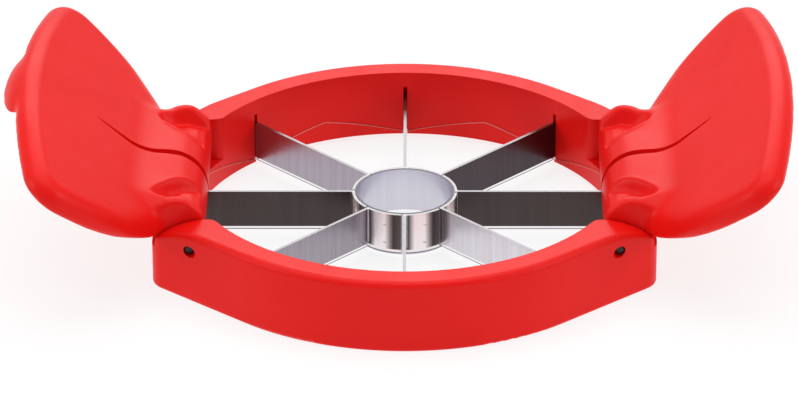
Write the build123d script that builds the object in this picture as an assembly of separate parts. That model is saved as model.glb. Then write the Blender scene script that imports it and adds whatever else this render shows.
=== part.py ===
from build123d import *
import math
import os

os.makedirs("parts", exist_ok=True)

# Apple slicer press with two folding handles.
# Origin: axis of the core tube, at the plane that the frame stands on.
# X runs from handle to handle, Y across the slicer, Z up. Millimetres.

# ---- frame ring -------------------------------------------------------------
opening_radius = 49.5       # inside of the ring, what the apple passes through
ring_wall = 6.0             # radial thickness of the ring
ring_height = 17.1
ear_beyond_pin = 8.8        # pin axis to the flat end of the hinge ears
ear_tangent_angle = 50.0    # where the straight flanks leave the round ring
ear_corner_radius = 5.0
ear_shoulder_length = 13.5  # length over which the ear top slopes down
ear_shoulder_drop = 6.6     # height lost along the shoulder
ear_shoulder_mid_drop = 1.1 # height lost half way
ear_shoulder_end_run = 0.45 # run for each unit of drop where the shoulder ends
outer_top_round = 1.5
outer_bottom_round = 0.9

# ---- hinge ------------------------------------------------------------------
pin_inside_opening = 1.5    # pin axis inside the edge of the opening
pin_below_top = 4.5         # pin axis under the top of the ring
pin_diameter = 2.2
pin_press_gap = 0.02        # radial, pin in the ears
pin_running_gap = 0.06      # radial, pin in the handle
pin_recess = 1.2            # pin end below the face of the ear
pin_mouth_diameter = 2.7
pin_mouth_depth = 2.2
pin_end_round = 0.4
pin_inner_end = 13.0        # centre line to the inner end of each pin
pin_end_gap = 0.3
slot_half_width = 25.0      # gap between the two ears of one end
slot_floor_depth = 10.7     # below the top of the ring
slot_corner_round = 2.5
ledge_length = 4.2          # raised stop at the outer end of the slot
neck_side_gap = 0.4         # handle neck to ear, each side
neck_lift = 0.3             # neck underside above the stop ledge
neck_wall = 1.1             # neck underside to the pin bore

# ---- blades and core ----------------------------------------------------------
blade_count = 8
blade_height = 9.8
blade_thickness = 0.7
blade_clear_of_base = 1.5   # cutting edge above the base plane
core_clear_of_base = 0.9    # lower rim of the core tube
bevel_height = 0.9
edge_flat = 0.1
core_radius = 12.0          # outside of the welded blade feet
sheet_thickness = 0.6       # core tube and blade feet
foot_gap = 0.02             # core tube to blade feet
foot_end_gap = 0.4          # free end of a foot to the next blade
fold_round = 0.5
weld_dot_radius = 0.75
weld_dot_depth = 0.15
weld_dot_spacing = 4.4
blade_seat_depth = 1.6      # how far a blade reaches into the ring
blade_slot_end_gap = 0.4
blade_slot_side_gap = 0.1
blade_slot_head_gap = 2.0   # slot roof above the blade

# ---- blade retaining ring -----------------------------------------------------
retainer_lift = 1.2         # its underside above the base plane
tooth_height = 4.7          # above its underside
tooth_root_height = 0.4
tooth_depth = 2.1           # radial, behind the ring's inner wall
tooth_step = 0.35           # radial, proud of the ring's inner wall
retainer_height = 2.0
retainer_wall = 2.2         # radial width of the closed ring behind the teeth
retainer_gap = 0.1

# ---- handles ------------------------------------------------------------------
paddle_slope = 40.5         # degrees above the base plane, handle open
paddle_face_offset = 1.0    # grip face below the pin axis, square to the slope
paddle_thickness = 5.4
paddle_meet_gap = 0.7       # folded outer edge to the middle of the slicer
paddle_fold_gap = 0.5       # folded sides to the edge of the opening
outer_edge_radius = 168.0   # outer edge, a flatter arc
paddle_start = 6.5          # inner end, along the slope
outer_corner_round = 8.4
inner_corner_round = 1.6
face_edge_round = 3.2
back_edge_round = 2.0
neck_behind_pin = 2.8       # pin axis to the neck's inner end
neck_crest_height = 8.4     # top of the neck above the pin axis, at the crest
neck_crest_beyond = 3.7     # pin axis to the crest
neck_top_rise = 6.0         # degrees
neck_barrel_round = 7.0
neck_heel_round = 1.0
neck_dip_round = 12.0
neck_belly_round = 4.0
neck_side_round = 1.0
neck_run_out = 5.5          # neck carried on into the paddle, past the dip
groove_width = 1.9
groove_depth = 1.0
groove_reach = 26.0         # end of the groove, along the slope
blade_relief_radius = 1.0   # groove bottom from the pin axis
blade_relief_reach = 12.0   # pin axis to the ends of the relief
groove_start = 8.0          # pin axis to the groove's inner end, along the slope
groove_start_height = 1.2   # its lower limit there, above the pin axis
groove_end_height = 3.0     # its lower limit at groove_reach, below the pin axis
scoop_start_depth = 2.4     # floor of each scoop below the crest, at the neck's inner end
scoop_length = 11.8         # along X, from the neck's inner end
scoop_rise = 9.0            # degrees, floor of the scoop
scoop_wall_lean = 30.0      # degrees from upright
bulge_half_width = 13.4     # middle of the neck, between the scoops, at its inner end
bulge_end_half_width = 18.6
scoop_half_width = 21.6     # centre line to the far side of each scoop
tab_width = 25.6            # lift tab on the left handle
tab_height = 4.7            # from its centre line to its tip
tab_thickness = 2.0
tab_drop = 4.8              # its centre line below the grip face
tab_lean = 12.0             # degrees outward from square to the paddle
tab_edge_round = 0.9
tab_below_round = 0.4       # flat top of the tab under the rounded edge of the grip face
cover_inset = 2.4
cover_gap = 0.1
cover_thickness = 1.2
cover_start = 15.5          # inner end of the back cover, along the slope
cover_ledge = 1.0
shell_wall = 2.0            # grip face to the hollow behind it
rib_thickness = 1.4
rib_offset = 14.0

# ---- worked out from the sizes above -------------------------------------------
ring_outer_radius = opening_radius + ring_wall
pin_offset = opening_radius - pin_inside_opening
pin_height = ring_height - pin_below_top
ear_reach = pin_offset + ear_beyond_pin
paddle_length = pin_offset - paddle_meet_gap    # pin axis to the outer edge, along the slope
paddle_radius = opening_radius - paddle_fold_gap
neck_inner_end = pin_offset - neck_behind_pin
neck_crest = (pin_offset + neck_crest_beyond, pin_height + neck_crest_height)
blade_top = blade_clear_of_base + blade_height
blade_reach = opening_radius + blade_seat_depth
slot_depth_radius = blade_reach + blade_slot_end_gap
slot_floor = ring_height - slot_floor_depth
neck_half_width = slot_half_width - neck_side_gap
ledge_start = ear_reach - ledge_length
pin_radius = pin_diameter / 2
neck_underside = pin_height - pin_radius - neck_wall
ledge_top = neck_underside - neck_lift
blade_pitch = 360 / blade_count
core_tube_outer = core_radius - sheet_thickness - foot_gap
core_tube_inner = core_tube_outer - sheet_thickness
blade_slot_width = blade_thickness + 2 * blade_slot_side_gap
back_offset = paddle_face_offset + paddle_thickness
slope_sin = math.sin(math.radians(paddle_slope))
slope_cos = math.cos(math.radians(paddle_slope))

# Sloping work plane of the right handle: x along the paddle, z out of its face.
slope_plane = Plane(
    origin=(pin_offset, 0, pin_height),
    x_dir=(slope_cos, 0, slope_sin),
    z_dir=(-slope_sin, 0, slope_cos),
)
big = 4 * ear_reach         # larger than anything that is cut
pick_gap = 0.01             # how far an edge may lie from the place it is picked by


def ear_flank_y(x):
    """Half width of the frame's straight flank at x."""
    angle = math.radians(ear_tangent_angle)
    return (ring_outer_radius - x * math.cos(angle)) / math.sin(angle)


def on_slope(along, above):
    """X and Z of a point given along the paddle slope and above the pin axis."""
    x = pin_offset + along * slope_cos - above * slope_sin
    z = pin_height + along * slope_sin + above * slope_cos
    return (x, z)


def meet(point_a, angle_a, point_b, angle_b):
    """Crossing point of two lines, each a point and a direction in degrees."""
    ax, az = math.cos(math.radians(angle_a)), math.sin(math.radians(angle_a))
    bx, bz = math.cos(math.radians(angle_b)), math.sin(math.radians(angle_b))
    dx, dz = point_b[0] - point_a[0], point_b[1] - point_a[1]
    step = (dx * bz - dz * bx) / (ax * bz - az * bx)
    return (point_a[0] + ax * step, point_a[1] + az * step)


def both_ends(solid):
    """A solid and its mirror image at the other end of the slicer."""
    return [solid, mirror(solid, about=Plane.YZ)]


def at_blades(solid):
    """One copy of a solid at each blade direction."""
    return [Rot(0, 0, blade_pitch * i) * solid for i in range(blade_count)]


def box_between(low, high):
    """Box from its two opposite corners."""
    size = [h - l for l, h in zip(low, high)]
    centre = [(l + h) / 2 for l, h in zip(low, high)]
    return Pos(*centre) * Box(*size)


def tube_between(inner, outer, bottom, top):
    """Upright tube round the core axis."""
    height = top - bottom
    return Pos(0, 0, bottom + height / 2) * (Cylinder(outer, height) - Cylinder(inner, height))


# ---- retaining ring ---------------------------------------------------------------
def valley(lift):
    """Waste above the V between two teeth, at the blade along +X."""
    half_pitch = math.radians(blade_pitch / 2)
    slope = (tooth_height - tooth_root_height) / (opening_radius * math.sin(half_pitch))
    side = ring_outer_radius * math.tan(half_pitch)
    low = retainer_lift + tooth_root_height + lift
    high = low + slope * side
    vee = [(0, low), (side, high), (side, ring_height), (-side, ring_height), (-side, high)]
    return extrude(Plane.YZ * make_face(Polyline(*vee, close=True)), 2 * opening_radius)


def crown(clearance, bottom, inner):
    """Retaining ring blank; the same shape, grown, is the recess in the frame."""
    band_inner = opening_radius + tooth_depth
    band_outer = band_inner + retainer_wall
    teeth = tube_between(inner, band_inner + clearance, bottom, retainer_lift + tooth_height)
    for waste in at_blades(valley(clearance)):
        teeth -= waste
    return teeth + tube_between(band_inner - sheet_thickness, band_outer + clearance, bottom,
                                retainer_lift + retainer_height + clearance)


def blade_slot():
    """Pocket for one blade end, open downwards."""
    top = blade_top + blade_slot_head_gap
    half = blade_slot_width / 2
    return box_between((opening_radius - ring_wall, -half, -ring_height), (slot_depth_radius, half, top))


def make_retainer():
    """Crown-shaped ring that holds the blades from below."""
    ring = crown(0, retainer_lift, opening_radius - tooth_step)
    for pocket in at_blades(blade_slot()):
        ring -= pocket
    for slot in both_ends(neck_slot()):
        ring -= slot
    return ring


# ---- frame -------------------------------------------------------------------------
def frame_plan():
    """Outline of the frame seen from above."""
    angle = math.radians(ear_tangent_angle)
    touch = (ring_outer_radius * math.cos(angle), ring_outer_radius * math.sin(angle))
    corner = (ear_reach, ear_flank_y(ear_reach))
    ends = FilletPolyline(
        touch, corner, (corner[0], -corner[1]), (touch[0], -touch[1]),
        (-touch[0], -touch[1]), (-corner[0], -corner[1]), (-corner[0], corner[1]), (-touch[0], touch[1]),
        radius=[0, ear_corner_radius, ear_corner_radius, 0, 0, ear_corner_radius, ear_corner_radius, 0],
        close=True,
    )
    return make_face(ends) + Circle(ring_outer_radius)


def shoulder_cutter():
    """Waste above the rounded shoulders of the ears, right end."""
    start = ear_reach - ear_shoulder_length
    middle = (ear_reach - ear_shoulder_length / 2, ring_height - ear_shoulder_mid_drop)
    low = ring_height - ear_shoulder_drop
    curve = Spline((start, ring_height), middle, (ear_reach, low),
                   tangents=[(1, 0), (ear_shoulder_end_run, -1)])
    rest = Polyline((ear_reach, low), (big, low), (big, big), (start, big), (start, ring_height))
    return extrude(Plane.XZ * make_face(curve.edges() + rest.edges()), big / 2, both=True)


def neck_slot():
    """Space for the handle neck between the ears, right end."""
    inner = box_between((0, -slot_half_width, slot_floor), (ledge_start, slot_half_width, big))
    outer = box_between((ledge_start, -slot_half_width, ledge_top), (big, slot_half_width, big))
    return inner + outer


def pin_hole():
    """Hole through both ears for one hinge pin, with a wider mouth."""
    flank = ear_flank_y(pin_offset)
    mouth_end = flank - pin_mouth_depth
    lying = Pos(pin_offset, 0, pin_height) * Rot(90, 0, 0)
    hole = lying * Cylinder(pin_radius + pin_press_gap, 4 * flank)
    mouth = lying * Cylinder(pin_mouth_diameter / 2, 4 * flank)
    return hole + (mouth - box_between((0, -mouth_end, 0), (big, mouth_end, big)))


def is_top_rim(edge):
    """True for an edge round the top of the frame, not for the line where a shoulder starts."""
    upright = abs(edge.tangent_at(0.5).Z) > 1 - pick_gap
    across = edge.geom_type == GeomType.LINE and abs(edge.tangent_at(0.5).X) < pick_gap
    shoulder_start = across and abs(edge.center().X) < ear_reach - ear_shoulder_length / 2
    return edge.center().Z > outer_bottom_round and not upright and not shoulder_start


def make_frame():
    """Ring with two pairs of hinge ears."""
    body = extrude(frame_plan(), ring_height)
    for waste in both_ends(shoulder_cutter()):
        body -= waste
    body = fillet([e for e in body.edges() if is_top_rim(e)], outer_top_round)
    bottom = body.faces().sort_by(Axis.Z)[0]
    body = fillet(bottom.edges(), outer_bottom_round)
    body -= Cylinder(opening_radius, 4 * ring_height)
    for slot in both_ends(neck_slot()):
        body -= slot
    mouths = [e for e in body.edges().filter_by(Axis.Z)
              if abs(abs(e.center().Y) - slot_half_width) < pick_gap and e.center().Z > slot_floor
              and abs(e.center().X) < pin_offset]
    body = fillet(mouths, slot_corner_round)
    for hole in both_ends(pin_hole()):
        body -= hole
    for pocket in at_blades(blade_slot()):
        body -= pocket
    return body - crown(retainer_gap, -ring_height, opening_radius - ring_wall)


# ---- blades and core -----------------------------------------------------------------
def make_core():
    """Thin steel tube that cuts out the core."""
    return tube_between(core_tube_inner, core_tube_outer, core_clear_of_base, blade_top)


def blade_section():
    """Cross-section of a blade, with its double bevel at the bottom."""
    half = blade_thickness / 2
    tip = edge_flat / 2
    shoulder = blade_clear_of_base + bevel_height
    points = [(-half, blade_top), (half, blade_top), (half, shoulder), (tip, blade_clear_of_base),
              (-tip, blade_clear_of_base), (-half, shoulder)]
    return make_face(Polyline(*points, close=True))


def blade_foot():
    """Folded foot of a blade, bent round the core tube."""
    free_end = math.radians(blade_pitch) - (blade_thickness / 2 + foot_end_gap) / core_radius
    start = blade_thickness / 2 / core_radius
    far = 2 * core_radius
    sector = [(0, 0), (far, -far * math.tan(start)), (far, far),
              (far * math.cos(free_end), far * math.sin(free_end))]
    band = Circle(core_radius) - Circle(core_radius - sheet_thickness)
    band &= make_face(Polyline(*sector, close=True))
    return Pos(0, 0, blade_clear_of_base) * extrude(band, blade_height)


def make_blade():
    """Blade along +X with its foot, before it is turned into place."""
    start = core_radius - sheet_thickness / 2
    plate = Pos(start, 0, 0) * extrude(Plane.YZ * blade_section(), blade_reach - start)
    blade = plate + blade_foot()
    fold = [e for e in blade.edges().filter_by(Axis.Z)
            if abs(e.center().Y - blade_thickness / 2) < pick_gap
            and abs(e.center().X - core_radius) < fold_round]
    blade = fillet(fold, fold_round)
    dot_angle = math.radians(blade_pitch / 2)
    dot_distance = core_radius + weld_dot_radius - weld_dot_depth
    middle = blade_clear_of_base + blade_height / 2
    for side in (-1, 1):
        place = Pos(dot_distance * math.cos(dot_angle), dot_distance * math.sin(dot_angle),
                    middle + side * weld_dot_spacing / 2)
        blade -= place * Sphere(weld_dot_radius)
    return blade


# ---- hinge pins -----------------------------------------------------------------------
def make_pin():
    """Near pin of the right hinge, from the ear into the neck."""
    start, end = -ear_flank_y(pin_offset) + pin_recess, -pin_inner_end
    pin = Cylinder(pin_radius, end - start)
    pin = fillet(pin.edges().filter_by(GeomType.CIRCLE), pin_end_round)
    return Pos(pin_offset, (start + end) / 2, pin_height) * Rot(90, 0, 0) * pin


# ---- handles ----------------------------------------------------------------------------
def slope_points(points):
    """World X and Z of points given along and above the paddle slope."""
    return [on_slope(along, above) for along, above in points]


def neck_end():
    """Where the neck ends inside the paddle, along the slope."""
    dip = meet(neck_crest, neck_top_rise, on_slope(0, -paddle_face_offset), paddle_slope)
    return (dip[0] - on_slope(0, -paddle_face_offset)[0]) / slope_cos + neck_run_out


def neck_profile():
    """Side view of the right handle's neck, X and Z, as far as the paddle."""
    face_line = on_slope(0, -paddle_face_offset)
    back_line = on_slope(0, -back_offset)
    underside = (neck_inner_end, neck_underside)
    points = [
        underside,
        meet(underside, 90, neck_crest, neck_top_rise),
        meet(neck_crest, neck_top_rise, face_line, paddle_slope),
        on_slope(neck_end(), -paddle_face_offset),
        on_slope(neck_end(), -back_offset),
        meet(underside, 0, back_line, paddle_slope),
    ]
    radii = [neck_heel_round, neck_barrel_round, neck_dip_round, 0, 0, neck_belly_round]
    return make_face(FilletPolyline(*points, radius=radii, close=True))


def make_neck():
    """Knuckle that turns on the pin between the ears."""
    neck = extrude(Plane.XZ * neck_profile(), neck_half_width, both=True)
    rims = [e for e in neck.edges() if abs(abs(e.center().Y) - neck_half_width) < pick_gap
            and e.center().X < on_slope(neck_end() - neck_run_out / 2, 0)[0]]
    return fillet(rims, neck_side_round)


def paddle_outline(inset, start):
    """Outline of the paddle, seen square to its face, drawn in by an inset."""
    sides = Pos(pin_offset, 0) * Circle(paddle_radius - inset)
    outer = Pos(paddle_length - outer_edge_radius, 0) * Circle(outer_edge_radius - inset)
    beyond_start = Pos(start + big / 2, 0) * Rectangle(big, big)
    outline = sides & outer & beyond_start
    inner_corners = outline.vertices().sort_by(Axis.X)[:2]
    outline = fillet(inner_corners, inner_corner_round)
    outer_corners = outline.vertices().filter_by(lambda v: v.X > paddle_length / 2)
    return fillet(outer_corners, outer_corner_round - inset)


def lift_tab():
    """Rounded lip for a fingertip, behind the outer edge."""
    x, z = on_slope(paddle_length, -paddle_face_offset - tab_drop)
    across = math.radians(paddle_slope - 90 + tab_lean)
    lip_plane = Plane(origin=(x, 0, z), x_dir=(math.cos(across), 0, math.sin(across)),
                      z_dir=(-math.sin(across), 0, math.cos(across)))
    lip = extrude(lip_plane * Ellipse(tab_height, tab_width / 2), -tab_thickness)
    lip = fillet(lip.edges().filter_by(GeomType.ELLIPSE), tab_edge_round)
    top = slope_plane.offset(-paddle_face_offset - face_edge_round - tab_below_round).location
    return lip & top * Pos(0, 0, -big / 2) * Box(big, big, big)


def paddle_rim(paddle, depth):
    """Edges round the paddle at a depth below the pin axis, without the inner end."""
    middles = [(edge, slope_plane.to_local_coords(edge @ 0.5)) for edge in paddle.edges()]
    return [edge for edge, middle in middles
            if abs(middle.Z + depth) < pick_gap and middle.X > paddle_start + pick_gap]


def make_paddle():
    """Flat grip with rounded rims and the rolled margin."""
    base = slope_plane.offset(-back_offset)
    paddle = extrude(base * paddle_outline(0, paddle_start), paddle_thickness)
    paddle = fillet(paddle_rim(paddle, paddle_face_offset), face_edge_round)
    return fillet(paddle_rim(paddle, back_offset), back_edge_round)


def groove_cutter():
    """Shallow groove along the middle of the neck, and its relief for the blade below."""
    outline = neck_profile()
    skin = outline - offset(outline, -groove_depth)
    far = blade_relief_reach
    zone = [(-groove_start, groove_start_height), (groove_reach, -groove_end_height), (groove_reach, far),
            (-groove_start, far)]
    zone = make_face(Polyline(*slope_points(zone), close=True))
    line = extrude(Plane.XZ * (skin & zone), groove_width / 2, both=True)
    lifted = slope_points([(0, blade_relief_radius), (far, blade_relief_radius), (far, far), (-far, far)])
    level = pin_height - blade_relief_radius
    low = [(pin_offset - far, 0), (slot_depth_radius, 0), (slot_depth_radius, level), (pin_offset, level)]
    barrel = Pos(pin_offset, pin_height) * Circle(blade_relief_radius)
    swept = make_face(Polyline(*lifted, *low, close=True)) - barrel
    relief = extrude(Plane.XZ * swept, groove_width / 2, both=True)
    return line + relief


def scoop_cutter(side):
    """Hollow in the neck, between its middle bulge and one side arm."""
    start, end = neck_inner_end - scoop_length / 2, neck_inner_end + scoop_length
    middle = neck_inner_end + scoop_length / 2
    bulge = [(start, bulge_half_width), (middle, bulge_half_width), (end, bulge_end_half_width)]
    arm = [(end, bulge_end_half_width), (middle, scoop_half_width), (start, scoop_half_width)]
    outline = [(x, side * y) for x, y in bulge + arm[1:]]
    floor = neck_crest[1] - scoop_start_depth - neck_inner_end * math.tan(math.radians(scoop_rise))
    tilt = math.radians(scoop_rise)
    plane = Plane(origin=(0, 0, floor), x_dir=(math.cos(tilt), 0, math.sin(tilt)),
                  z_dir=(-math.sin(tilt), 0, math.cos(tilt)))
    face = make_face(Polyline(*outline, close=True))
    return extrude(plane * face, neck_crest_height, taper=-scoop_wall_lean)


def cover_pocket():
    """Seat of the back cover and the ribbed hollow behind the grip face."""
    back = slope_plane.offset(-back_offset)
    seat = extrude(back * paddle_outline(cover_inset, cover_start), cover_thickness + cover_gap)
    depth = paddle_thickness - shell_wall
    hollow = extrude(back * paddle_outline(cover_inset + cover_ledge, cover_start + cover_ledge), depth)
    for side in (-1, 0, 1):
        rib = Pos(big / 2, side * rib_offset, 0) * Box(big, rib_thickness, 4 * paddle_thickness)
        hollow -= slope_plane.location * rib
    return seat + hollow


def make_shell(with_tab):
    """Right handle without its back cover."""
    shell = make_neck() + make_paddle()
    if with_tab:
        shell += lift_tab()
    for side in (-1, 1):
        shell -= scoop_cutter(side)
    shell -= groove_cutter()
    bore = Pos(pin_offset, 0, pin_height) * Rot(90, 0, 0) * Cylinder(pin_radius + pin_running_gap, big)
    web_end = pin_inner_end - pin_end_gap
    bore -= box_between((0, -web_end, 0), (big, web_end, big))
    return shell - bore - cover_pocket()


def make_cover():
    """Back cover of the right handle."""
    back = slope_plane.offset(-back_offset)
    return extrude(back * paddle_outline(cover_inset + cover_gap, cover_start + cover_gap), cover_thickness)


# ---- write every sub-part ------------------------------------------------------------------
def write(name, solid):
    """One STEP file for each sub-part."""
    print(name, "volume %.1f" % solid.volume, "valid", solid.is_valid, "solids", len(solid.solids()))
    export_step(solid, "parts/" + name + ".step")


def main():
    write("frame_ring", make_frame())
    write("blade_retaining_ring", make_retainer())
    write("core_tube", make_core())
    for number, blade in enumerate(at_blades(make_blade()), start=1):
        write("blade_%d" % number, blade)
    near_pin = make_pin()
    far_pin = mirror(near_pin, about=Plane.XZ)
    write("right_hinge_pin_near", near_pin)
    write("right_hinge_pin_far", far_pin)
    write("left_hinge_pin_near", Rot(0, 0, 180) * far_pin)
    write("left_hinge_pin_far", Rot(0, 0, 180) * near_pin)
    write("right_handle_shell", make_shell(False))
    write("left_handle_shell", mirror(make_shell(True), about=Plane.YZ))
    cover = make_cover()
    write("right_handle_back_cover", cover)
    write("left_handle_back_cover", mirror(cover, about=Plane.YZ))


main()
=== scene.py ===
import math

import bmesh
import bpy
import numpy as np
from mathutils import Matrix, Vector


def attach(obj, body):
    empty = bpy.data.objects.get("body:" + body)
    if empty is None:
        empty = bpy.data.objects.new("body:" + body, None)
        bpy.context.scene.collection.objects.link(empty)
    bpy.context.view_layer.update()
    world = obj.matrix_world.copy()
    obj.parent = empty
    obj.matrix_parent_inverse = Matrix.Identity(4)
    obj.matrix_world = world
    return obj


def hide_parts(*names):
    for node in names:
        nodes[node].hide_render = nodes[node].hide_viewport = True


# Apple slicer press: a ring that holds blades and a core cutter, and two handles that fold over it.
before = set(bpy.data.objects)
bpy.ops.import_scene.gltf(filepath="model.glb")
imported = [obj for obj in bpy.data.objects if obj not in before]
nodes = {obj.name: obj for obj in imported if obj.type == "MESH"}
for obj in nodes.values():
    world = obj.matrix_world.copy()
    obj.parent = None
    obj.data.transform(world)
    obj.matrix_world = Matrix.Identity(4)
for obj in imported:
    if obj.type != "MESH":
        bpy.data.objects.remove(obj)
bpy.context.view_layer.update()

MM = 0.001                      # in metres
near_enough = 0.01 * MM         # places closer than this count as one

# ---- blades and core, where their finish and their painted light and shade change ---
blade_count = 8
foot_reach = 12.06 * MM         # just outside the folded feet, from the core's axis
bevel_top = 2.4 * MM            # upper end of the ground bevel
cutting_edge_top = 1.8 * MM
blade_top = 11.28 * MM          # just under the upper edges

# ---- colours and finishes -----------------------------------------------------------
# the third red is a painted highlight, laid on the retaining ring's faces that look up
deep_red, light_red, ledge_painted_highlight = (0.80, 0.006, 0.004), (0.84, 0.008, 0.0055), (0.95, 0.30, 0.28)
# the pins are steel, darkened with painted shade as deep as the recessed holes they sit in
core_tint, pin_shaded_tint = (0.66, 0.64, 0.72), (0.05, 0.04, 0.04)
# painted highlight on the ground bevel, and painted shade at the cutting edge under it
bevel_highlight, cutting_edge_shade = (0.97, 0.96, 0.96), (0.22, 0.21, 0.26)
# painted shade along the upper edges of blades, feet and core, dimming their reflections
blade_rim_shade, foot_rim_shade, core_rim_shade = (0.25, 0.24, 0.25), (0.55, 0.53, 0.55), (0.07, 0.065, 0.075)
# painted reflections: bare steel looks as bright as what it mirrors, so each blade has a tint of its own that
# stands in for what it mirrors
blade_reflection_tints = {
    "blade_1": (0.07, 0.055, 0.055), "blade_2": (0.075, 0.06, 0.068), "blade_3": (0.60, 0.57, 0.6),
    "blade_4": (0.40, 0.36, 0.42), "blade_5": (0.07, 0.055, 0.055), "blade_6": (0.35, 0.32, 0.36),
    "blade_7": (0.60, 0.57, 0.6), "blade_8": (0.70, 0.67, 0.72),
}
# painted reflections: light and dark round one folded foot, from one blade to the next
foot_reflection_bands = [
    (0.0, (0.10, 0.09, 0.09)), (0.10, (0.13, 0.12, 0.12)), (0.24, (0.95, 0.93, 0.95)),
    (0.50, (0.98, 0.96, 0.98)), (0.64, (0.30, 0.28, 0.27)), (0.72, (0.07, 0.06, 0.06)),
    (0.90, (0.13, 0.11, 0.11)), (0.97, (0.75, 0.72, 0.76)),
]
sheet_roughness, foot_dulling, pin_roughness = 0.26, 0.22, 0.4
blade_brushing, core_brushing, pin_brushing = 0.06, 0.025, 0.05


# ---- materials ----------------------------------------------------------------------
def new_material(name):
    """A node material, its tree and its Principled shader."""
    material = bpy.data.materials.new(name)
    material.use_nodes = True
    tree = material.node_tree
    return material, tree, tree.nodes["Principled BSDF"]


def noise(tree, scale, detail, stretch=(1, 1, 1)):
    """Noise in object coordinates, in cycles per metre, stretched along an axis."""
    coordinates = tree.nodes.new("ShaderNodeTexCoord")
    mapping = tree.nodes.new("ShaderNodeMapping")
    mapping.inputs["Scale"].default_value = stretch
    texture = tree.nodes.new("ShaderNodeTexNoise")
    texture.inputs["Scale"].default_value = scale
    texture.inputs["Detail"].default_value = detail
    tree.links.new(coordinates.outputs["Object"], mapping.inputs["Vector"])
    tree.links.new(mapping.outputs["Vector"], texture.inputs["Vector"])
    return texture.outputs["Fac"]


def ramp(tree, source, stops):
    """Colour ramp fed by a value: stops are (place, colour)."""
    node = tree.nodes.new("ShaderNodeValToRGB")
    while len(node.color_ramp.elements) < len(stops):
        node.color_ramp.elements.new(0.5)
    for element, (place_on_ramp, colour) in zip(node.color_ramp.elements, stops):
        element.position = place_on_ramp
        element.color = (*colour, 1)
    tree.links.new(source, node.inputs["Fac"])
    return node.outputs["Color"]


def grey(value):
    """One value in all three channels."""
    return (value, value, value)


def bump(tree, height, shader, strength, distance):
    """Bump from a height."""
    node = tree.nodes.new("ShaderNodeBump")
    node.inputs["Strength"].default_value = strength
    node.inputs["Distance"].default_value = distance
    tree.links.new(height, node.inputs["Height"])
    tree.links.new(node.outputs["Normal"], shader.inputs["Normal"])


def math_node(tree, operation, first, second=0.0):
    """Arithmetic on values and numbers."""
    node = tree.nodes.new("ShaderNodeMath")
    node.operation = operation
    for socket, value in zip(node.inputs, (first, second)):
        if isinstance(value, (int, float)):
            socket.default_value = value
        else:
            tree.links.new(value, socket)
    return node.outputs["Value"]


def swap_colour(tree, where, below, colour):
    """Another colour where a value is 1."""
    node = tree.nodes.new("ShaderNodeMix")
    node.data_type = "RGBA"
    tree.links.new(where, node.inputs["Factor"])
    for socket, value in zip("AB", (below, colour)):
        if isinstance(value, tuple):
            node.inputs[socket].default_value = (*value, 1)
        else:
            tree.links.new(value, node.inputs[socket])
    return node.outputs["Result"]


def moulded_red(name, ledge=None):
    """Satin red plastic with a faint moulding grain. Faces that look up take a painted highlight colour, if
    given.
    """
    material, tree, shader = new_material(name)
    tint = ramp(tree, noise(tree, 55, 3), [(0.3, deep_red), (0.7, light_red)])
    if ledge:
        geometry = tree.nodes.new("ShaderNodeNewGeometry")
        facing = tree.nodes.new("ShaderNodeSeparateXYZ")
        tree.links.new(geometry.outputs["Normal"], facing.inputs["Vector"])
        # painted highlight: faces that look up take the lighter colour
        looks_up = math_node(tree, "GREATER_THAN", facing.outputs["Z"], 0.3)
        tint = swap_colour(tree, looks_up, tint, ledge)
    tree.links.new(tint, shader.inputs["Base Color"])
    rough = ramp(tree, noise(tree, 160, 3), [(0.3, grey(0.36)), (0.7, grey(0.42))])
    tree.links.new(rough, shader.inputs["Roughness"])
    bump(tree, noise(tree, 2600, 2), shader, 0.05, 0.05 * MM)
    shader.inputs["Specular IOR Level"].default_value = 0.17
    return material


def brushed_steel(name, colour, roughness, contrast):
    """Brushed steel, its streaks upright. Gives the material and its tint."""
    material, tree, shader = new_material(name)
    streaks = noise(tree, 900, 6, (1, 1, 0.03))
    dark = tuple(c * (1 - contrast) for c in colour)
    light = tuple(min(1, c * (1 + contrast)) for c in colour)
    tint = ramp(tree, streaks, [(0.35, dark), (0.65, light)])
    tree.links.new(tint, shader.inputs["Base Color"])
    bump(tree, streaks, shader, 0.1, 0.03 * MM)
    shader.inputs["Metallic"].default_value = 1.0
    shader.inputs["Roughness"].default_value = roughness
    return material, tint


def place_on_piece(tree):
    """X, Y and Z of the spot that is shaded."""
    coordinates = tree.nodes.new("ShaderNodeTexCoord")
    split = tree.nodes.new("ShaderNodeSeparateXYZ")
    tree.links.new(coordinates.outputs["Object"], split.inputs["Vector"])
    return (split.outputs[axis] for axis in "XYZ")


def core_steel(name, colour, rim):
    """Core cutter's steel, with painted shade along its upper edge."""
    material, tint = brushed_steel(name, colour, sheet_roughness, core_brushing)
    tree = material.node_tree
    shader = tree.nodes["Principled BSDF"]
    _, _, z = place_on_piece(tree)
    # painted shade along the upper edge
    tint = swap_colour(tree, math_node(tree, "GREATER_THAN", z, blade_top), tint, rim)
    tree.links.new(tint, shader.inputs["Base Color"])
    return material


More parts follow.
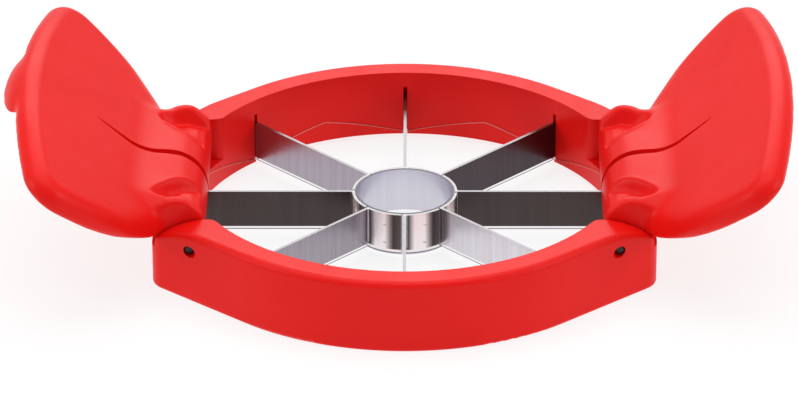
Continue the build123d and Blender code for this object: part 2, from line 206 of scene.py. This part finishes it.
def blade_steel(name, colour, rim):
    """Blade steel: banded with painted reflections on the folded foot, a painted highlight on the ground
    bevel with painted shade under it at the cutting edge, and even painted shade along its upper edge.
    """
    material, tint = brushed_steel(name, colour, sheet_roughness, blade_brushing)
    tree = material.node_tree
    shader = tree.nodes["Principled BSDF"]
    x, y, z = place_on_piece(tree)
    turn = math_node(tree, "MULTIPLY", math_node(tree, "ARCTAN2", y, x), blade_count / (2 * math.pi))
    share = math_node(tree, "FRACT", math_node(tree, "ADD", turn, blade_count))
    squares = (math_node(tree, "MULTIPLY", axis, axis) for axis in (x, y))
    reach = math_node(tree, "SQRT", math_node(tree, "ADD", *squares))
    on_foot = math_node(tree, "LESS_THAN", reach, foot_reach)
    # painted reflections in bands round the folded foot
    tint = swap_colour(tree, on_foot, tint, ramp(tree, share, foot_reflection_bands))
    dulling = math_node(tree, "MULTIPLY", on_foot, foot_dulling)
    tree.links.new(math_node(tree, "ADD", dulling, sheet_roughness), shader.inputs["Roughness"])
    # painted highlight on the bevel, then painted shade at the cutting edge
    tint = swap_colour(tree, math_node(tree, "LESS_THAN", z, bevel_top), tint, bevel_highlight)
    tint = swap_colour(tree, math_node(tree, "LESS_THAN", z, cutting_edge_top), tint, cutting_edge_shade)
    # painted shade along the upper edge, lighter on the foot
    rim = swap_colour(tree, on_foot, rim, foot_rim_shade)
    tint = swap_colour(tree, math_node(tree, "GREATER_THAN", z, blade_top), tint, rim)
    tree.links.new(tint, shader.inputs["Base Color"])
    return material


red = moulded_red("moulded_red")
finishes = {node: red for node in ("frame_ring", "left_handle_shell", "right_handle_shell",
                                   "left_handle_back_cover", "right_handle_back_cover")}
# the insert gets a painted highlight on its faces that look up
finishes["blade_retaining_ring"] = moulded_red("moulded_red_insert", ledge_painted_highlight)
# each blade's tint is a painted reflection
for blade, blade_reflection_tint in blade_reflection_tints.items():
    finishes[blade] = blade_steel("steel_" + blade, blade_reflection_tint, blade_rim_shade)
finishes["core_tube"] = core_steel("steel_core", core_tint, core_rim_shade)
for side in ("left", "right"):
    for ear in ("near", "far"):
        # pin steel darkened with the painted shade of its hole
        pin_steel, _ = brushed_steel("steel_%s_%s_pin" % (side, ear), pin_shaded_tint, pin_roughness, pin_brushing)
        finishes["%s_hinge_pin_%s" % (side, ear)] = pin_steel
for node, material in finishes.items():
    nodes[node].data.materials.clear()
    nodes[node].data.materials.append(material)


# ---- modelling steps ----------------------------------------------------------------
def select_only(*objects):
    """Make these the whole selection, the first one active."""
    bpy.ops.object.select_all(action="DESELECT")
    for chosen in objects:
        chosen.select_set(True)
    bpy.context.view_layer.objects.active = objects[0]


def named(name):
    """Name the primitive that was just added."""
    piece = bpy.context.object
    piece.name = name
    return piece


def place(piece, matrix):
    """Turn and move a piece for good, leaving its object at the origin."""
    piece.matrix_world = matrix
    select_only(piece)
    bpy.ops.object.transform_apply(location=True, rotation=True, scale=True)


def apply_modifier(piece, kind, **settings):
    """Add one modifier and apply it."""
    select_only(piece)
    modifier = piece.modifiers.new(kind, kind)
    for setting, value in settings.items():
        setattr(modifier, setting, value)
    bpy.ops.object.modifier_apply(modifier=modifier.name)


def cut_away(piece, cutter):
    """Take one piece out of another and drop it."""
    apply_modifier(piece, "BOOLEAN", operation="DIFFERENCE", object=cutter, solver="EXACT")
    bpy.data.objects.remove(cutter)


def face_outwards(piece):
    """Turn all faces of a closed piece outwards."""
    select_only(piece)
    bpy.ops.object.mode_set(mode="EDIT")
    bpy.ops.mesh.select_all(action="SELECT")
    bpy.ops.mesh.normals_make_consistent(inside=False)
    bpy.ops.object.mode_set(mode="OBJECT")


def bevel_edges(piece, chosen, offset, segments):
    """Round the edges whose middle and direction pass a test."""
    select_only(piece)
    bpy.ops.object.mode_set(mode="EDIT")
    bpy.ops.mesh.select_mode(type="EDGE")
    bpy.ops.mesh.select_all(action="DESELECT")
    shape = bmesh.from_edit_mesh(piece.data)
    for edge in shape.edges:
        a, b = edge.verts[0].co, edge.verts[1].co
        if chosen((a + b) / 2, (b - a).normalized()):
            edge.select_set(True)
    bmesh.update_edit_mesh(piece.data)
    bpy.ops.mesh.bevel(offset=offset, segments=segments, profile=0.5, affect="EDGES", clamp_overlap=False)
    bpy.ops.object.mode_set(mode="OBJECT")


def prism(name, corners, depth):
    """Flat outline of any number of corners, drawn out by a depth."""
    bpy.ops.object.select_all(action="DESELECT")
    bpy.ops.mesh.primitive_circle_add(vertices=len(corners), radius=MM, fill_type="NGON")
    piece = named(name)
    for vertex, corner in zip(piece.data.vertices, corners):
        vertex.co = corner
    bpy.ops.object.mode_set(mode="EDIT")
    bpy.ops.mesh.select_all(action="SELECT")
    bpy.ops.mesh.extrude_region_move(TRANSFORM_OT_translate={"value": depth})
    bpy.ops.object.mode_set(mode="OBJECT")
    face_outwards(piece)
    return piece


def side_view(name, corners, half_width):
    """Outline in X and Z drawn out both ways along Y."""
    return prism(name, [(x, -half_width, z) for x, z in corners], (0, 2 * half_width, 0))


def arc(centre, radius, first, last, step):
    """Points along an arc in the XY plane, about a step apart."""
    count = max(2, round(abs(last - first) * radius / step))
    return [(centre[0] + radius * math.cos(first + (last - first) * i / count),
             centre[1] + radius * math.sin(first + (last - first) * i / count)) for i in range(count + 1)]


# ---- shaping with numbers, one value for each point of a piece ----------------------
def points_of(piece):
    """All points of a piece, in millimetres."""
    places = np.empty(len(piece.data.vertices) * 3)
    piece.data.vertices.foreach_get("co", places)
    return places.reshape(-1, 3) / MM


def move_points(piece, places):
    """Put the points of a piece where an array in millimetres says."""
    piece.data.vertices.foreach_set("co", (places * MM).ravel())
    piece.data.update()


def profile(x, points):
    """Value at each x on the line through a few (x, value) points."""
    return np.interp(x, *zip(*points))


def smoothstep(low, high, value):
    """0 below low, 1 above high, smooth between."""
    share = np.clip((value - low) / (high - low), 0, 1)
    return share * share * (3 - 2 * share)


def within(value, low, full, last_full, high):
    """1 from full to last_full, falling smoothly to 0 at low and at high."""
    return smoothstep(low, full, value) * (1 - smoothstep(last_full, high, value))


def ridge(distance, width):
    """1 on a line, falling to nothing on both sides of it."""
    return np.exp(-(distance / width) ** 2)


def positive_part(value, blur):
    """The value where it is above 0 and nothing elsewhere, with the corner between them blurred."""
    return (value + np.sqrt(value ** 2 + blur)) / 2


def soften(piece, share, factor, rounds):
    """Smooth a piece where a share between 0 and 1 says, point by point."""
    group = piece.vertex_groups.new(name="soft")
    for level in range(1, 11):
        chosen = np.nonzero(np.round(share * 10) == level)[0]
        group.add(chosen.tolist(), level / 10, "REPLACE")
    apply_modifier(piece, "SMOOTH", factor=factor, iterations=rounds, vertex_group=group.name)
    piece.vertex_groups.clear()


# ---- handles ------------------------------------------------------------------------
# The right handle. Its slope starts at the pin axis, and heights on it are square to the slope.
pin_x, pin_z = 48.0 * MM, 12.6 * MM
slope = math.radians(40.5)
on_slope = Matrix.Translation((pin_x, 0, pin_z)) @ Matrix.Rotation(-slope, 4, "Y")

paddle_radius, paddle_length, paddle_start = 49.0 * MM, 47.7 * MM, 6.5 * MM
outer_edge_radius, corner_round = 168.0 * MM, 7.6 * MM
outline_step, corner_step = 1.2 * MM, 0.8 * MM
face_height, back_height = -0.7 * MM, -6.1 * MM
face_round, back_round = 4.0 * MM, 1.4 * MM
cover_inset, cover_start, cover_depth = 2.4 * MM, 15.5 * MM, 1.3 * MM

neck_inner_end, neck_underside = 44.9 * MM, 10.4 * MM
neck_outer_end = 21 * MM                        # along the slope, inside the paddle
neck_rounded_to = 64 * MM                       # the sides are square further out, inside the paddle
neck_side = 22.6 * MM                           # half the middle's width, and where the arms' middles lie
middle_crest, middle_rise = (51.7 * MM, 20.9 * MM), math.radians(6)
arm_crest, arm_rise, arm_half_width = (52.3 * MM, 21.4 * MM), math.radians(-20), 2.0 * MM
heel_round, throat_round = 1.0 * MM, 4.0 * MM
# plane just above the ring's ledge when folded: its height at the pins in millimetres, its rise outwards
ledge_height, ledge_rise = 20.4, 0.854

bore_radius, bore_length, bore_middle = 1.16 * MM, 14 * MM, 19.7 * MM
groove_half_width, groove_relief, groove_reach = 1.1 * MM, 1.0 * MM, 12.0 * MM
slot_end, slot_outer_x = 10 * MM, 51.5 * MM
run_out_start, run_out_middle, run_out_end = 9.5, 16, 28        # along the slope, in millimetres
tab_half_sizes, tab_lean = (4.5 * MM, 13.2 * MM, 1.9 * MM), math.radians(37.5)
tab_setback, tab_drop = 1.3 * MM, 5.2 * MM      # its middle, from the outer edge and from the face
voxel = 0.4 * MM


def paddle_slab(name, inset, start, bottom, top):
    """Slab with the paddle's outline, drawn in by an inset, lying flat with the pin axis at X 0."""
    outer_x = paddle_length - outer_edge_radius
    # centre of the corner's rounding, as far inside both arcs as its radius
    side_reach, outer_reach = paddle_radius - corner_round, outer_edge_radius - corner_round
    apart = pin_x - outer_x
    corner_x = outer_x + (outer_reach ** 2 - side_reach ** 2 + apart ** 2) / (2 * apart)
    corner_y = math.sqrt(outer_reach ** 2 - (corner_x - outer_x) ** 2)
    first = math.atan2(corner_y, corner_x - outer_x)
    last = math.atan2(corner_y, corner_x - pin_x)
    start_angle = math.acos((start - pin_x) / (paddle_radius - inset))
    half = arc((outer_x, 0), outer_edge_radius - inset, 0, first, outline_step)
    half += arc((corner_x, corner_y), corner_round - inset, first, last, corner_step)[1:]
    half += arc((pin_x, 0), paddle_radius - inset, last, start_angle, outline_step)[1:]
    outline = half + [(x, -y) for x, y in reversed(half[1:])]
    return prism(name, [(x, y, bottom) for x, y in outline], (0, 0, top - bottom))


def round_paddle(slab, height, radius, segments):
    """Round the slab's outline at one height, apart from the straight end that lies in the neck."""
    def on_outline(middle, way):
        return abs(middle.z - height) < near_enough and middle.x > paddle_start + near_enough
    bevel_edges(slab, on_outline, radius, segments)


def crossing(point_a, angle_a, point_b, angle_b):
    """Where two lines meet, each a point and an angle."""
    ax, az, bx, bz = math.cos(angle_a), math.sin(angle_a), math.cos(angle_b), math.sin(angle_b)
    dx, dz = point_b[0] - point_a[0], point_b[1] - point_a[1]
    step = (dx * bz - dz * bx) / (ax * bz - az * bx)
    return (point_a[0] + ax * step, point_a[1] + az * step)


def slope_point(along, above):
    """X and Z of a point given along the slope and above the pin axis."""
    spot = on_slope @ Vector((along, 0, above))
    return (spot.x, spot.z)


def above_slope(places):
    """Height of each point above the pin axis, square to the slope, in millimetres."""
    return (places[:, 2] - pin_z / MM) * math.cos(slope) - (places[:, 0] - pin_x / MM) * math.sin(slope)


def along_slope(places):
    """Distance of each point from the pin axis, along the slope, in millimetres."""
    return (places[:, 0] - pin_x / MM) * math.cos(slope) + (places[:, 2] - pin_z / MM) * math.sin(slope)


def neck_block(middle_y, half_width, crest, rise, barrel_round, dip_round, side_round):
    """One width of the neck, from the barrel round the pin into the paddle."""
    face, back = slope_point(0, face_height), slope_point(0, back_height)
    heel = (neck_inner_end, neck_underside)
    corners = [heel, crossing(heel, math.pi / 2, crest, rise), crossing(crest, rise, face, slope),
               slope_point(neck_outer_end, face_height), slope_point(neck_outer_end, back_height),
               crossing(heel, 0, back, slope)]
    rounds = [heel_round, barrel_round, dip_round, 0, 0, throat_round]
    block = side_view("neck", corners, half_width)
    for index, radius in enumerate(rounds):
        if radius:
            here, before, after = (Vector(corners[i % len(corners)]) for i in (index, index - 1, index + 1))
            turn = (here - before).angle(after - here)

            def at_corner(middle, way):
                return abs(way.y) > 0.99 and (Vector((middle.x, middle.z)) - here).length < near_enough
            bevel_edges(block, at_corner, radius * math.tan(turn / 2), 10)

    def on_side(middle, way):
        return abs(abs(middle.y) - half_width) < near_enough and middle.x < neck_rounded_to
    bevel_edges(block, on_side, side_round, 6)
    place(block, Matrix.Translation((0, middle_y, 0)))
    return block


def neck_blocks():
    """Middle of the neck and the arm at each side of it."""
    blocks = [neck_block(0, neck_side, middle_crest, middle_rise,
                         barrel_round=8.8 * MM, dip_round=12.0 * MM, side_round=1.0 * MM)]
    for side in (-1, 1):
        blocks.append(neck_block(side * neck_side, arm_half_width, arm_crest, arm_rise,
                                 barrel_round=6.0 * MM, dip_round=5.0 * MM, side_round=1.1 * MM))
    return blocks


def sculpt_neck(piece):
    """Bulge in the middle, a scoop on either side of it, and the crest of each side arm. In millimetres."""
    places = points_of(piece)
    x, y, z = places[:, 0], np.abs(places[:, 1]), places[:, 2]
    on_top = smoothstep(14.5, 17.5, z) * (1 - smoothstep(60, 64, x))
    # plan of the bulge and of the arm, then the floor between them, with a ditch along each
    bulge_side = profile(x, [(44, 9.6), (47.5, 10.2), (49.6, 11.1), (51.7, 12.4), (53.8, 14.3),
                             (56, 16.5), (57, 18.2)])
    arm_side = profile(x, [(44, 22.6), (50, 22.4), (53.5, 21.6), (57, 20.2)])
    scoop_floor = profile(x, [(44, 15.6), (46.5, 16.9), (48, 17.8), (50, 18.5), (52, 18.4),
                              (53.5, 18.5), (55.5, 19.5), (56.8, 21.2), (60, 24.0)])
    bulge_ditch = 0.9 * ridge(y - bulge_side - 1.9, 0.9) * within(x, 45.5, 47.5, 52, 55)
    arm_ditch = 0.6 * ridge(y - arm_side + 2.2, 0.9) * within(x, 46, 48.5, 52, 55)
    waste = positive_part(z - (scoop_floor - bulge_ditch - arm_ditch), 0.06)
    scoop = waste * smoothstep(0, 1.4, y - bulge_side) * (1 - smoothstep(-1.9, 0, y - arm_side))
    # the bulge's raised rim, and its crown
    rim = 0.3 * ridge(y - bulge_side + 0.5, 0.6) * within(x, 45.5, 47.5, 54, 57)
    crown = 0.3 * (1 - np.clip(y / 11.2, 0, 1) ** 2) * (1 - smoothstep(54, 60, x))
    places[:, 2] += on_top * (rim + crown - scoop)
    # the arms' crests, cut back to clear the ring's ledge when folded
    over_ledge = positive_part(z - ledge_height - ledge_rise * (x - pin_x / MM), 0.3)
    on_crest = smoothstep(20.4, 21.2, y) * (1 - smoothstep(50, 53, x)) * smoothstep(13, 16, z)
    places[:, 2] -= over_ledge * on_crest
    move_points(piece, places)


def lift_tab():
    """Rounded lip for a fingertip behind the outer edge."""
    bpy.ops.object.select_all(action="DESELECT")
    bpy.ops.mesh.primitive_uv_sphere_add(segments=64, ring_count=32, radius=1)
    lip = named("lip")
    root = on_slope @ Vector((paddle_length - tab_setback, 0, face_height - tab_drop))
    place(lip, Matrix.Translation(root) @ Matrix.Rotation(tab_lean, 4, "Y")
          @ Matrix.Diagonal((*tab_half_sizes, 1)))
    return lip


def groove_cutters():
    """Slot along the middle of the neck, over the blade below, and the line in which it runs out."""
    slot = side_view("neck_slot", [
        slope_point(-groove_reach, groove_reach), (pin_x - groove_reach, 0), (slot_outer_x, 0),
        (slot_outer_x, pin_z - groove_relief), (pin_x, pin_z - groove_relief), (pin_x - groove_relief, pin_z),
        slope_point(0, groove_relief), slope_point(slot_end, groove_relief),
        slope_point(slot_end, groove_reach)], groove_half_width)
    line = side_view("run_out", [
        slope_point(run_out_start * MM, groove_relief),
        slope_point(run_out_middle * MM, face_height - 1.3 * MM),
        slope_point(run_out_end * MM, face_height - 0.05 * MM),
        slope_point(run_out_end * MM, groove_reach),
        slope_point(run_out_start * MM, groove_reach)], groove_half_width)
    places = points_of(line)
    places[:, 1] *= profile(along_slope(places), [(run_out_start, 0.99), (run_out_middle, 0.78),
                                                  (run_out_end, 0.22)])
    move_points(line, places)
    return slot, line


def make_grip(name, body, mirrored):
    """One handle, moulded in one. The mirrored one is the left handle, which has the lift tab."""
    grip = paddle_slab(name, 0, paddle_start, back_height, face_height)
    round_paddle(grip, face_height, face_round, 8)
    round_paddle(grip, back_height, back_round, 6)
    place(grip, on_slope)
    parts = [grip] + neck_blocks()
    if mirrored:
        parts.append(lift_tab())
    select_only(*parts)
    bpy.ops.object.join()
    apply_modifier(grip, "REMESH", mode="VOXEL", voxel_size=voxel)

    # where the moulded form runs soft, in millimetres
    places = points_of(grip)
    x, y, above = places[:, 0], np.abs(places[:, 1]), above_slope(places)
    everywhere = np.ones(len(x))
    flank = within(x, 53, 57, 66, 72) * within(y, 17, 21, 32, 38)
    flank *= 0.3 + 0.7 * smoothstep(-4.6, -2.6, above)      # less on the underside
    outer_underside = smoothstep(70, 74, x) * (1 - smoothstep(-3.2, -1.6, above))
    tab_root = smoothstep(81, 83.5, x) * (1 - smoothstep(15, 19, y))
    soften(grip, everywhere, 0.5, 8)
    soften(grip, flank, 0.7, 120)
    soften(grip, outer_underside, 0.5, 20)
    if mirrored:
        soften(grip, tab_root, 0.5, 30)
    sculpt_neck(grip)
    soften(grip, everywhere, 0.5, 2)

    for cutter in groove_cutters():
        cut_away(grip, cutter)
    seat_bottom, seat_top = back_height - 1 * MM, back_height + cover_depth
    seat = paddle_slab("cover_seat", cover_inset, cover_start, seat_bottom, seat_top)
    place(seat, on_slope)
    cut_away(grip, seat)
    for side in (-1, 1):
        bpy.ops.object.select_all(action="DESELECT")
        bpy.ops.mesh.primitive_cylinder_add(vertices=32, radius=bore_radius, depth=bore_length,
                                            rotation=(math.pi / 2, 0, 0),
                                            location=(pin_x, side * bore_middle, pin_z))
        cut_away(grip, named("pin_bore"))
    if mirrored:
        place(grip, Matrix.Scale(-1, 4, (1, 0, 0)))
        face_outwards(grip)
    select_only(grip)
    bpy.ops.object.shade_smooth_by_angle(angle=math.radians(40))
    grip.data.materials.clear()
    grip.data.materials.append(red)
    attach(grip, body)
    return grip


right_grip = make_grip("right_handle_grip", "right_handle", False)
left_grip = make_grip("left_handle_grip", "left_handle", True)
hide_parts("right_handle_shell")
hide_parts("left_handle_shell")


# ---- room, lights and camera --------------------------------------------------------
def paper():
    """Matt white background paper, bright by itself."""
    material, tree, shader = new_material("paper")
    colour = ramp(tree, noise(tree, 4, 3), [(0.3, (0.15, 0.165, 0.164)), (0.7, (0.17, 0.185, 0.184))])
    tree.links.new(colour, shader.inputs["Base Color"])
    shader.inputs["Roughness"].default_value = 0.9
    shader.inputs["Emission Color"].default_value = (1, 1, 1, 1)
    shader.inputs["Emission Strength"].default_value = 0.81
    return material


bpy.ops.object.select_all(action="DESELECT")
bpy.ops.mesh.primitive_plane_add(size=6, location=(0, 0, 0))
floor = named("floor")
floor.data.materials.append(paper())


def softbox(name, spot, target, width, height, power):
    """Area light aimed at a point."""
    light = bpy.data.lights.new(name, "AREA")
    light.shape = "RECTANGLE"
    light.size, light.size_y, light.energy = width, height, power
    lamp = bpy.data.objects.new(name, light)
    bpy.context.scene.collection.objects.link(lamp)
    lamp.location = spot
    lamp.rotation_euler = (Vector(target) - Vector(spot)).to_track_quat("-Z", "Y").to_euler()


softbox("overhead", (0, 0.2, 1.3), (0, 0, 0), 1.6, 1.2, 11.0)
softbox("back_panel", (0, 1.5, 0.78), (0, 0, 0.02), 1.1, 0.55, 5)
softbox("left_panel", (-1.3, -0.3, 0.7), (0, 0, 0.02), 0.7, 0.7, 5.6)
softbox("right_panel", (1.3, -0.3, 0.7), (0, 0, 0.02), 0.7, 0.7, 5.6)

world = bpy.data.worlds.new("studio")
bpy.context.scene.world = world
world.use_nodes = True
background = world.node_tree.nodes["Background"]
background.inputs["Color"].default_value = (1, 1, 1, 1)
background.inputs["Strength"].default_value = 0.4
bpy.context.scene.view_settings.view_transform = "Standard"

view_distance = 1.2
view_height = math.radians(27.61)
view_turn = math.radians(0.25)
view_roll = math.radians(-0.09)
aim = Vector((-0.00131, -0.00148, 0.00846))     # what lies in the middle of the view
camera = bpy.data.objects.new("camera", bpy.data.cameras.new("camera"))
bpy.context.scene.collection.objects.link(camera)
camera.data.sensor_width = 36
camera.data.lens = 236.8
camera.data.clip_end = 10
turn = (Matrix.Rotation(view_turn, 3, "Z") @ Matrix.Rotation(math.pi / 2 - view_height, 3, "X")
        @ Matrix.Rotation(view_roll, 3, "Z"))
camera.rotation_euler = turn.to_euler()
camera.location = aim + turn @ Vector((0, 0, view_distance))
bpy.context.scene.camera = camera
